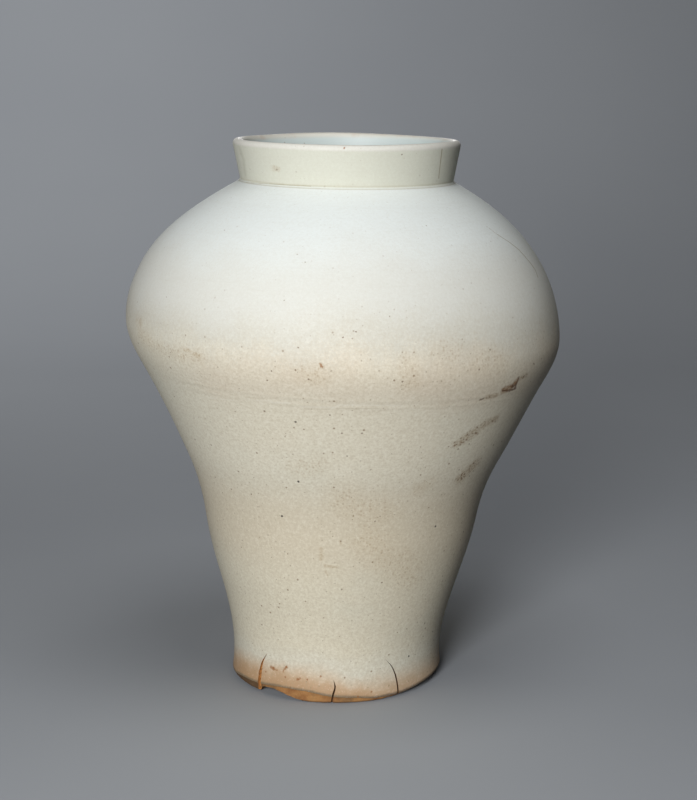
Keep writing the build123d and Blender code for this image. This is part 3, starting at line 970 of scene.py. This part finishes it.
    # Dusting, stains and streaks, ragged at their edges; the dusting that follows the belly's left edge is
    # painted shade
    shake = shader_node(tree, "TexNoise", {"Vector": place, "Scale": 420.0, "Detail": 2.0}).outputs["Color"]
    shake = vector_sum(tree, "SUBTRACT", shake, (0.5, 0.5, 0.5))["Vector"]
    rough_place = shaken(tree, place, shake, 4 * MM)
    dots = strewn(tree, place, 430.0, (0.15, 0.9), (0.04, 0.5), (-0.16, 0.02), 1)
    dust_and_edge_shade = ease(tree, from_streaks(tree, rough_place, DUST_AND_EDGE_SHADE), 1.7, 0)
    colour = tinted(times(tree, dust_and_edge_shade, powder, 0.26), 188, 160, 118)
    colour = tinted(times(tree, dust_and_edge_shade, dots, 0.3), 158, 126, 82)
    stains = ease(tree, from_streaks(tree, rough_place, TAN_STAINS), 1.9, 0.1)
    colour = tinted(times(tree, stains, sums(tree, "ADD", powder, 0.2), 0.55), 172, 144, 98)
    streak = ease(tree, from_streaks(tree, rough_place, IRON_STREAK), 1.8, 0.4)
    colour = tinted(times(tree, streak, clots, 0.7), 152, 122, 80)
    colour = tinted(times(tree, streak, dots, 0.75), 112, 80, 44)
    blot = ease(tree, from_streaks(tree, rough_place, IRON_BLOT), 1.5, 0.4)
    colour = tinted(times(tree, blot, sums(tree, "ADD", clots, 0.4), 0.85), 146, 108, 68)
    core = ease(tree, from_streaks(tree, rough_place, IRON_CORE), 1.8, 0.3)
    colour = tinted(times(tree, core, 0.85), 94, 62, 36)
    # Thin lines: where they fade out and are full, in half widths, their strength and their shade
    # Among these, the ridge lines are a painted highlight and painted shade, and the shoulder's run of
    # hairlines is painted shade.
    for lines, faded, full, strength, steps in [
        (RIDGE_HIGHLIGHT_LINES, 1.8, 0.2, 0.34, (242, 238, 224)), (RIDGE_SHADE_LINES, 1.8, 0.2, 0.2, (180, 168, 142)),
        (HAIRLINES_AND_STEP_SHADE, 1.7, 0.3, 0.7, (150, 132, 98)),
    ]:
        line = ease(tree, from_streaks(tree, place, round_wall(lines)), faded, full, 0, strength)
        colour = tinted(line, *steps)
    # Painted shade along the neck's left crease.
    colour = tinted(ease(tree, from_streaks(tree, place, CREASE_SHADE), 1.6, 0, 0, 0.3), 170, 170, 150)

    # Iron specks: the larger ones one by one, the small ones strewn all round. A speck has two distances,
    # at which it has faded out and at which it is full, its strength and its shade.
    speck_place = shaken(tree, place, shake, 1.4 * MM)
    for specks, faded, full, strength, steps in [
        (FAINT_SPECKS, 0.75 * MM, 0.3 * MM, 0.6, (134, 112, 84)),
        (RUST_SPOTS, 1.1 * MM, 0.5 * MM, 0.75, (152, 100, 56)),
        (BROWN_SPECKS, 0.9 * MM, 0.4 * MM, 0.8, (110, 82, 56)),
    ]:
        speck = ease(tree, from_spots(tree, speck_place, specks), faded, full, 0, strength)
        colour = tinted(speck, *steps)
    rust = ease(tree, from_streaks(tree, rough_place, RUST_BLOTS), 1.7, 0.4, 0, 0.75)
    colour = tinted(rust, 156, 104, 58)
    black = ease(tree, from_spots(tree, speck_place, BLACK_SPECKS), 1.1 * MM, 0.6 * MM, 0, 0.95)
    colour = tinted(black, 44, 34, 28)
    speckle = strewn(tree, place, 135.0, (0.3, 1.0), (0.0, 0.13), (-0.03, 0.0), 0.7)
    colour = tinted(times(tree, speckle, low_down), 134, 106, 74)
    colour = tinted(ease(tree, rings, 0.5, 0.75, 0, 0.05), 176, 168, 148)

    surface = sums(tree, "ADD", times(tree, cloud(tree, place, 480, 2), 0.8), times(tree, rings, 0.2))
    join(tree, shader, colour, ease(tree, mottle, 0.3, 0.7, 0.54, 0.66), relief(tree, surface, 0.07 * MM))
    shader.inputs["Specular IOR Level"].default_value = 0.35
    return material


outer_glaze = placed(outer_shell, "outer_glaze", "outer_glaze", "outer_glaze", outer_coat())
cut_away(outer_glaze, cracks + [bruise])
for tool in cracks + [bruise]:
    bpy.data.objects.remove(tool)


def upright_height(points):
    """Heights that settled points had on the upright jar."""
    x, y, z = points.T
    height = z
    for again in range(4):  # each time closer, because dip and drift belong to the upright height
        height = z + np.tan(np.radians(ring_dip(height))) * (x - axis_drift(height))
    return height


shell_points = np.array([vert.co for vert in outer_glaze.data.vertices])
heights = upright_height(shell_points)
turns = np.degrees(np.arctan2(shell_points[:, 1], shell_points[:, 0] - axis_drift(heights))) % 360
levels = {"height": heights, "rise": heights - edge_height(turns), "warmth": heights - warm_top(turns)}
for name, values in levels.items():
    outer_glaze.data.attributes.new(name, "FLOAT", "POINT").data.foreach_set("value", values)

# Studio
# A grey paper sweep, a soft lamp to the front left, one overhead, one for the paper, one behind the jar
# that leaves the paper alone, and a dim room.
PAPER_REACH = 3.0
SWEEP_CURVE = 1.6
floor_shell = bmesh.new()
bmesh.ops.create_grid(floor_shell, x_segments=1, y_segments=1, size=PAPER_REACH)
back_edge = [edge for edge in floor_shell.edges if all(vert.co.y > 0 for vert in edge.verts)]
raised = bmesh.ops.extrude_edge_only(floor_shell, edges=back_edge)["geom"]
raised_corners = [part for part in raised if isinstance(part, bmesh.types.BMVert)]
bmesh.ops.translate(floor_shell, verts=raised_corners, vec=(0, 0, PAPER_REACH))
corner = [edge for edge in floor_shell.edges if len(edge.link_faces) == 2]
bmesh.ops.bevel(
    floor_shell, geom=corner, offset=SWEEP_CURVE, offset_type="OFFSET", affect="EDGES",
    segments=32, profile=0.5, material=-1,
)
bmesh.ops.translate(floor_shell, verts=floor_shell.verts, vec=(0, 0, -0.1 * MM))
floor_mesh = bpy.data.meshes.new("paper_sweep")
floor_shell.to_mesh(floor_mesh)
floor_shell.free()
floor_mesh.shade_smooth()
paper_sweep = bpy.data.objects.new("paper_sweep", floor_mesh)
bpy.context.scene.collection.objects.link(paper_sweep)


def seen_straight(tree):
    """Share of 1 for rays from the eye, and for those that gloss or glass turns."""
    rays = shader_node(tree, "LightPath", {}).outputs
    turned = sums(tree, "MAXIMUM", rays["Is Glossy Ray"], rays["Is Transmission Ray"])
    return sums(tree, "MAXIMUM", rays["Is Camera Ray"], turned)


def sweep_paper():
    """Matt grey paper with a faint tooth, which throws little light back at the jar."""
    material, tree, shader, place = new_finish("sweep_paper")
    tooth = cloud(tree, place, 700, 2)
    colour = blend(tree, cloud(tree, place, 3, 2), shade(156, 160, 166), shade(161, 165, 170))
    colour = blend(tree, seen_straight(tree), shade(55, 55, 55), colour)
    join(tree, shader, colour, ease(tree, tooth, 0, 1, 0.8, 0.95), relief(tree, tooth, 0.02 * MM))
    return material


floor_mesh.materials.append(sweep_paper())


def soft_lamp(name, place, aim, size, power):
    """Square lamp at a place, facing its aim."""
    data = bpy.data.lights.new(name, "AREA")
    data.shape = "SQUARE"
    data.size = size
    data.energy = power
    lamp = bpy.data.objects.new(name, data)
    lamp.location = place
    lamp.rotation_mode = "QUATERNION"
    lamp.rotation_quaternion = (Vector(aim) - Vector(place)).to_track_quat("-Z", "Y")
    bpy.context.scene.collection.objects.link(lamp)
    return lamp


# Place, aim, size in metres, and power in watts
soft_lamp("key_lamp", (-0.47, -2.0, 0.8), (0, 0, 0.23), 0.65, 40.5)
soft_lamp("top_lamp", (0.25, -0.6, 2.4), (0, 0, 0.2), 1.3, 15)
soft_lamp("paper_lamp", (-0.9, 1.2, 1.7), (-0.55, 2.2, 1.15), 0.8, 18.5)
rear_lamp = soft_lamp("rear_lamp", (0, 1.8, 0.45), (0, 0, 0.25), 0.7, 12)
left_alone = bpy.data.collections.new("left_alone")
left_alone.objects.link(paper_sweep)
left_alone.collection_objects[0].light_linking.link_state = "EXCLUDE"
rear_lamp.light_linking.receiver_collection = left_alone

room = bpy.data.worlds.new("room")
room.use_nodes = True
air = room.node_tree
dim_light, grey_wall = (0.006, 0.006, 0.0065, 1), (0.11, 0.112, 0.115, 1)
air.links.new(blend(air, seen_straight(air), dim_light, grey_wall), air.nodes["Background"].inputs["Color"])
bpy.context.scene.world = room

# Camera
# It stands where the photograph was taken from: a little right of the foot, above the rim, looking down.
lens = bpy.data.cameras.new("camera")
lens.lens = EYE_LENS
lens.sensor_width = EYE_SENSOR
camera = bpy.data.objects.new("camera", lens)
camera.location = EYE
camera.rotation_euler = (math.pi / 2 - EYE_TILT, 0, 0)
bpy.context.scene.collection.objects.link(camera)
bpy.context.scene.camera = camera
bpy.context.scene.view_settings.view_transform = "Standard"
